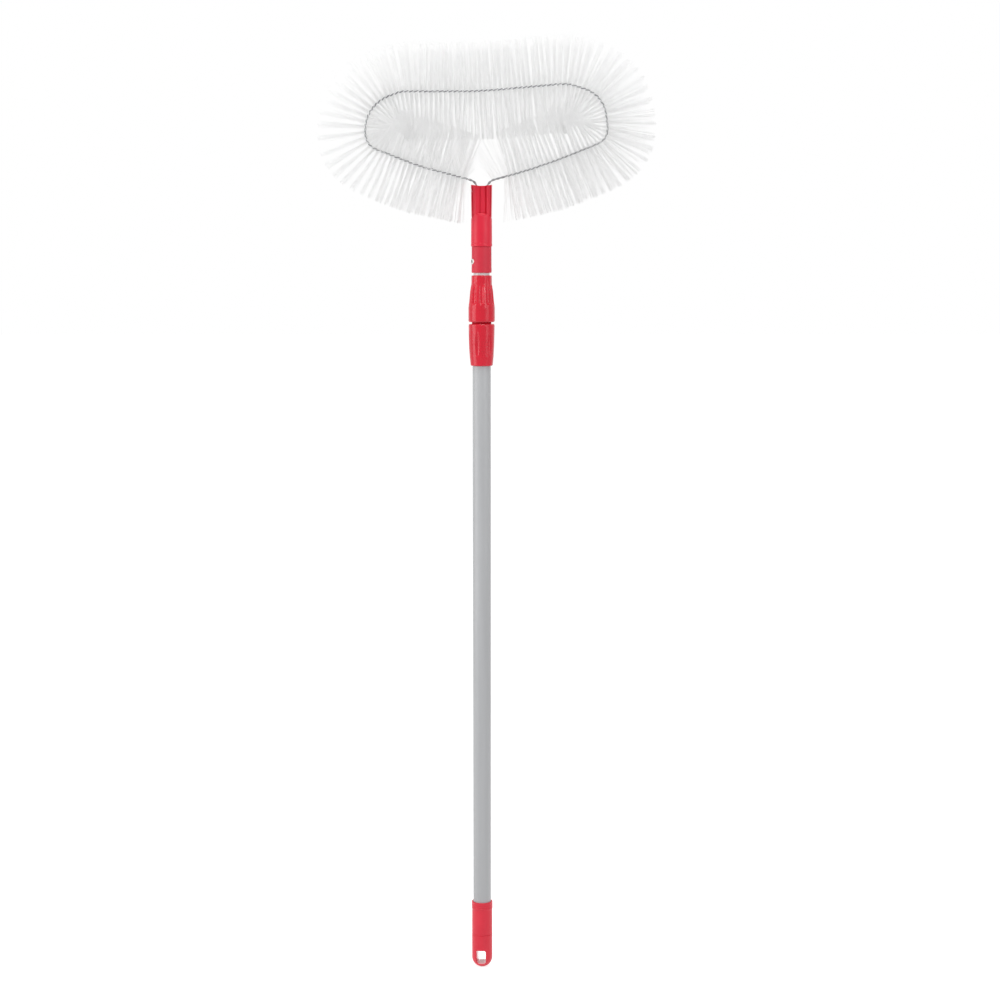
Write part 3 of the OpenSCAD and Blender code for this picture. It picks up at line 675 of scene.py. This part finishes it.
TOWARDS = np.array([0.0, -1.0, 0.0])


def strand_angle(s):
    """Angle of the twist at length s: the pair turns left-handed, and its wires cross at whole half turns."""
    return math.pi / 2 - math.pi * (s - FEET - BARE_LEFT) / HALF_TURN


def twisted_wire(name, phase):
    """One wire of the pair, phase radians round from the other."""
    radius, offset, sides = 0.8, 0.84, 12
    s = np.arange(0, ROUTE_LEN, 0.55)
    here, along, out = on_route(s)
    a = (strand_angle(s) + phase)[:, None]
    u = np.cos(a) * out + np.sin(a) * TOWARDS
    centre = here + offset * u
    run = np.gradient(centre, axis=0)
    run /= np.linalg.norm(run, axis=1)[:, None]
    u -= (u * run).sum(axis=1)[:, None] * run
    u /= np.linalg.norm(u, axis=1)[:, None]
    v = np.cross(run, u)
    rings = []
    for k in range(sides):
        t = 2 * math.pi * k / sides
        rings.append(centre + radius * (math.cos(t) * u + math.sin(t) * v))
    points = np.stack(rings, axis=1).reshape(-1, 3)
    faces = grid_faces(len(s), sides)
    faces.append(tuple(range(sides))[::-1])
    faces.append(tuple(range(len(points) - sides, len(points))))
    return mesh_object(name, points, faces, 60)


place(twisted_wire("front_wire_looks", 0.0), "brush_head", WIRE_STEEL, "front_wire")
place(twisted_wire("back_wire_looks", math.pi), "brush_head", WIRE_STEEL, "back_wire")

SECTIONS = ("lower_left", "left_end", "upper_left", "top_left",
            "top_right", "upper_right", "right_end", "lower_right")
PER_HALF_TURN = 76     # bristles to a tuft
FORWARD = 12           # more of them at the front and back between two tufts
LOOSE = 44             # loose ones past the last tuft
CLUMPS = 18            # bunches to a tuft
GATHER = 0.82          # share of each half turn that its tuft grows from
BRISTLE_D = 0.27


def bristle_roots():
    """Length along the route, angle from straight outwards and lean of every bristle. The tufts are where
    the wires cross, and the last two values are the lengths where the first and last of them stand."""
    first, last = FEET + BARE_LEFT, ROUTE_LEN - FEET - BARE_RIGHT
    bend = (last - first) * 3 / 16      # from the first tuft to the middle of the loop's end
    tufts = int((last - first) / HALF_TURN)
    s, a, lean = [], [], []
    for m in range(tufts + 1):
        at = first + m * HALF_TURN
        # tighter tufts round the two ends of the loop, and a fuller, less even row on the lower left run
        end = math.exp(-((at - first - bend) / 50) ** 2) + math.exp(-((last - bend - at) / 50) ** 2)
        full = 1 / (1 + math.exp((at - first - 75) / 8))
        n = int(PER_HALF_TURN * rng.uniform(0.85, 1.15) * (1 + 0.3 * end + 0.25 * full))
        gather = GATHER * (1 - 0.32 * end + 0.2 * full)
        middle = (np.arange(CLUMPS) + rng.uniform(0.1, 0.9, CLUMPS)) / CLUMPS - 0.5
        tilt = 0.02 * middle + rng.normal(0, 0.016) + rng.normal(0, 0.026 + 0.02 * full, CLUMPS)
        splay = rng.normal(0, 0.16, CLUMPS)
        clump = rng.integers(0, CLUMPS, n)
        u = middle[clump] + rng.normal(0, 0.02, n)
        s.append(at + gather * HALF_TURN * u + rng.normal(0, 0.1, n))
        a.append(math.pi * (m - u) + 0.42 * np.sin(2 * math.pi * u) + splay[clump] + rng.normal(0, 0.05, n))
        lean.append(tilt[clump] + rng.normal(0, 0.006, n))
        # between two crossings the wires part and more bristles come straight out at the front and back
        u = 0.5 + rng.normal(0, 0.1, FORWARD)
        s.append(at + HALF_TURN * u)
        a.append(math.pi * (m - u) + rng.normal(0, 0.22, FORWARD))
        lean.append(rng.normal(0, 0.03, FORWARD))
    # a few loose ones go on along the wire towards the holder at the right
    u = rng.random(LOOSE)
    s.append(last + 21 * u ** 1.3)
    a.append(math.pi + rng.normal(0, 0.7, LOOSE))
    lean.append(0.1 + 0.16 * u + rng.normal(0, 0.03, LOOSE))
    s, a, lean = np.concatenate(s), np.concatenate(a), np.concatenate(lean)
    stray = (rng.random(len(s)) < 0.006) & (s > first + 90) & (s < last - 90)
    lean[stray] += rng.normal(0, 0.25, stray.sum())
    return s, a, lean, first, last


BRISTLE_S, BRISTLE_ANGLE, BRISTLE_LEAN, BRISTLES_FROM, BRISTLES_TO = bristle_roots()


def bristles(name, low, high):
    """Both ends of every bristle whose root lies between two lengths, as fine three-sided rods."""
    picked = (BRISTLE_S >= low) & (BRISTLE_S < high)
    s = np.repeat(BRISTLE_S[picked], 2)
    a = np.repeat(BRISTLE_ANGLE[picked], 2)
    a[1::2] += math.pi
    lean = np.repeat(BRISTLE_LEAN[picked], 2)
    # beside the holder the outer ends fan out towards it, and the loose ones have no outer ends
    outer = np.cos(a) > 0
    lean += outer * 0.13 * np.clip(1 - (BRISTLES_TO - s) / 32, 0, 1) ** 2
    lean -= outer * 0.11 * np.clip(1 - (s - BRISTLES_FROM) / 32, 0, 1) ** 2
    kept = ~(outer & (s > BRISTLES_TO + HALF_TURN / 2))
    s, a, lean = s[kept], a[kept], lean[kept]
    n = len(s)
    a = a + rng.normal(0, 0.05, n)
    here, *_ = on_route(s)
    # the bristles fan round a bend over a longer stretch than the wires do
    near = [on_route(np.clip(s + d, BRISTLES_FROM, BRISTLES_TO)) for d in (-24, -12, 0, 12, 24)]
    along, out = sum(n[1] for n in near), sum(n[2] for n in near)
    along /= np.linalg.norm(along, axis=1)[:, None]
    out /= np.linalg.norm(out, axis=1)[:, None]
    lean = (lean + rng.normal(0, 0.006, n))[:, None]
    run = np.cos(a)[:, None] * out + np.sin(a)[:, None] * TOWARDS + lean * along
    run /= np.linalg.norm(run, axis=1)[:, None]
    length = rng.uniform(64.8, 66.8, n) - 3 * rng.random(n) ** 8
    # the last few beside the holder are a little shorter
    length *= 1 - 0.06 * np.exp(-(np.minimum(s - BRISTLES_FROM, BRISTLES_TO - s).clip(0) / 40) ** 2)
    curl = rng.normal(0, 0.45, (n, 3))
    curl -= (curl * run).sum(axis=1)[:, None] * run
    side = np.cross(run, along)
    side /= np.linalg.norm(side, axis=1)[:, None]
    other = np.cross(run, side)
    rings, sides = 6, 3
    spin = rng.uniform(0, 2 * math.pi, n)
    points = np.empty((n, rings, sides, 3))
    for j in range(rings):
        t = j / (rings - 1)
        centre = here + run * (length * t)[:, None] + curl * (t * t)
        width = BRISTLE_D / 2 * (1.0 if j < rings - 1 else 0.8)
        for k in range(sides):
            q = spin + 2 * math.pi * k / sides
            points[:, j, k] = centre + width * (np.cos(q)[:, None] * side + np.sin(q)[:, None] * other)
    base = (np.arange(n) * rings * sides)[:, None, None]
    j = np.arange(rings - 1)[None, :, None] * sides
    k = np.arange(sides)[None, None, :]
    k2 = (k + 1) % sides
    quads = np.stack([base + j + k, base + j + sides + k, base + j + sides + k2, base + j + k2], axis=-1)
    quads = quads.reshape(-1, 4).tolist()
    tips = (np.arange(n) * rings * sides + (rings - 1) * sides)[:, None] + np.array([2, 1, 0])
    return mesh_object(name, points.reshape(-1, 3), quads + tips.tolist())


def bristle_material():
    """White filament that lets light through. Its glow stands in for light passed from one to the next."""
    s = Shader("bristle_filament", (233, 233, 233), 0.38, Specular_IOR_Level=0.3, Emission_Strength=0.28)
    s.bsdf.inputs["Emission Color"].default_value = (1, 1, 1, 1)
    s.colour(s.noise(220, 2.0), (229, 229, 229), (237, 237, 237))
    s.roughness(s.noise(90, 2.0), 0.34, 0.5)
    through = s.node("ShaderNodeBsdfTranslucent", Color=linear((242, 242, 242)))
    mix = s.node("ShaderNodeMixShader", Fac=0.4)
    s.tree.links.new(s.bsdf.outputs[0], mix.inputs[1])
    s.tree.links.new(through.outputs[0], mix.inputs[2])
    s.tree.links.new(mix.outputs[0], s.tree.nodes["Material Output"].inputs["Surface"])
    return s.mat


BRISTLE = bristle_material()
edges = np.linspace(BRISTLES_FROM, BRISTLES_TO, len(SECTIONS) + 1)
edges[0], edges[-1] = 0, ROUTE_LEN      # the first and last sections take in what grows past the tufts
for i, section in enumerate(SECTIONS):
    piece = bristles("bristles_" + section + "_looks", edges[i], edges[i + 1])
    place(piece, "brush_head", BRISTLE, "bristles_" + section)

# The nodes that stay as the CAD made them
for name, material in (("guide_bush", BLACK), ("clamp_ring", NATURAL)):
    obj = frame["nodes"][name]
    obj.data.materials.clear()
    obj.data.materials.append(material)


# Floor, light and camera

def seen_directly(tree):
    """1 for a ray from the camera, in a reflection or through glass, and 0 for one that only lights."""
    path = tree.nodes.new("ShaderNodeLightPath").outputs

    def largest(a, b):
        n = tree.nodes.new("ShaderNodeMath")
        n.operation = "MAXIMUM"
        tree.links.new(a, n.inputs[0])
        tree.links.new(b, n.inputs[1])
        return n.outputs[0]

    return largest(path["Is Camera Ray"], largest(path["Is Glossy Ray"], path["Is Transmission Ray"]))


def floor():
    """Pale floor just under the foot, which keeps the shadow and looks white."""
    size, z = 30.0, -0.01705
    mesh = bpy.data.meshes.new("floor")
    corners = [(-size, -size, z), (size, -size, z), (size, size, z), (-size, size, z)]
    mesh.from_pydata(corners, [], [(0, 1, 2, 3)])
    obj = bpy.data.objects.new("floor", mesh)
    bpy.context.scene.collection.objects.link(obj)
    mat = bpy.data.materials.new("floor_paper")
    mat.use_nodes = True
    tree = mat.node_tree
    tree.nodes.clear()
    diffuse = tree.nodes.new("ShaderNodeBsdfDiffuse")
    diffuse.inputs["Color"].default_value = (0.85, 0.85, 0.85, 1)
    glow = tree.nodes.new("ShaderNodeEmission")
    level = tree.nodes.new("ShaderNodeMath")
    level.operation = "MULTIPLY"
    level.inputs[1].default_value = 0.68
    tree.links.new(seen_directly(tree), level.inputs[0])
    tree.links.new(level.outputs[0], glow.inputs["Strength"])
    both = tree.nodes.new("ShaderNodeAddShader")
    tree.links.new(diffuse.outputs[0], both.inputs[0])
    tree.links.new(glow.outputs[0], both.inputs[1])
    out = tree.nodes.new("ShaderNodeOutputMaterial")
    tree.links.new(both.outputs[0], out.inputs["Surface"])
    mesh.materials.append(mat)


def world(level):
    """White surroundings that light the object at the given strength only."""
    w = bpy.data.worlds.new("studio")
    bpy.context.scene.world = w
    w.use_nodes = True
    tree = w.node_tree
    background = tree.nodes["Background"]
    background.inputs["Color"].default_value = (1, 1, 1, 1)
    mix = tree.nodes.new("ShaderNodeMapRange")
    mix.inputs["To Min"].default_value = level
    mix.inputs["To Max"].default_value = 1.0
    tree.links.new(seen_directly(tree), mix.inputs["Value"])
    tree.links.new(mix.outputs["Result"], background.inputs["Strength"])


def softbox(name, place_at, aim, width, height, power):
    """A rectangular lamp, sizes and places in metres and power in watts."""
    data = bpy.data.lights.new(name, "AREA")
    data.shape = "RECTANGLE"
    data.size, data.size_y = width, height
    data.energy = power
    lamp = bpy.data.objects.new(name, data)
    bpy.context.scene.collection.objects.link(lamp)
    lamp.location = place_at
    lamp.rotation_euler = (Vector(aim) - Vector(place_at)).to_track_quat("-Z", "Y").to_euler()


def camera():
    """The photograph's camera, as fitted to it."""
    data = bpy.data.cameras.new("camera")
    data.lens = 75.6
    data.sensor_width = 36
    obj = bpy.data.objects.new("camera", data)
    bpy.context.scene.collection.objects.link(obj)
    obj.location = (0.0252, -2.892, 0.9622)
    obj.rotation_euler = (math.radians(83.8), 0, 0)
    bpy.context.scene.camera = obj


floor()
world(0.42)
softbox("left_box", (-2.28, -0.74, 1.3), (0, 0, 0.7), 1.5, 2.6, 36)
softbox("right_box", (2.06, -1.6, 1.4), (0, 0, 0.7), 1.2, 2.2, 14)
softbox("top_box", (0.15, -0.9, 3.3), (0, 0, 0.9), 1.2, 1.2, 29)
softbox("small_box", (1.42, -2.15, 1.62), (0, 0, 0.93), 0.32, 0.5, 8)
camera()
bpy.context.scene.view_settings.view_transform = "Standard"
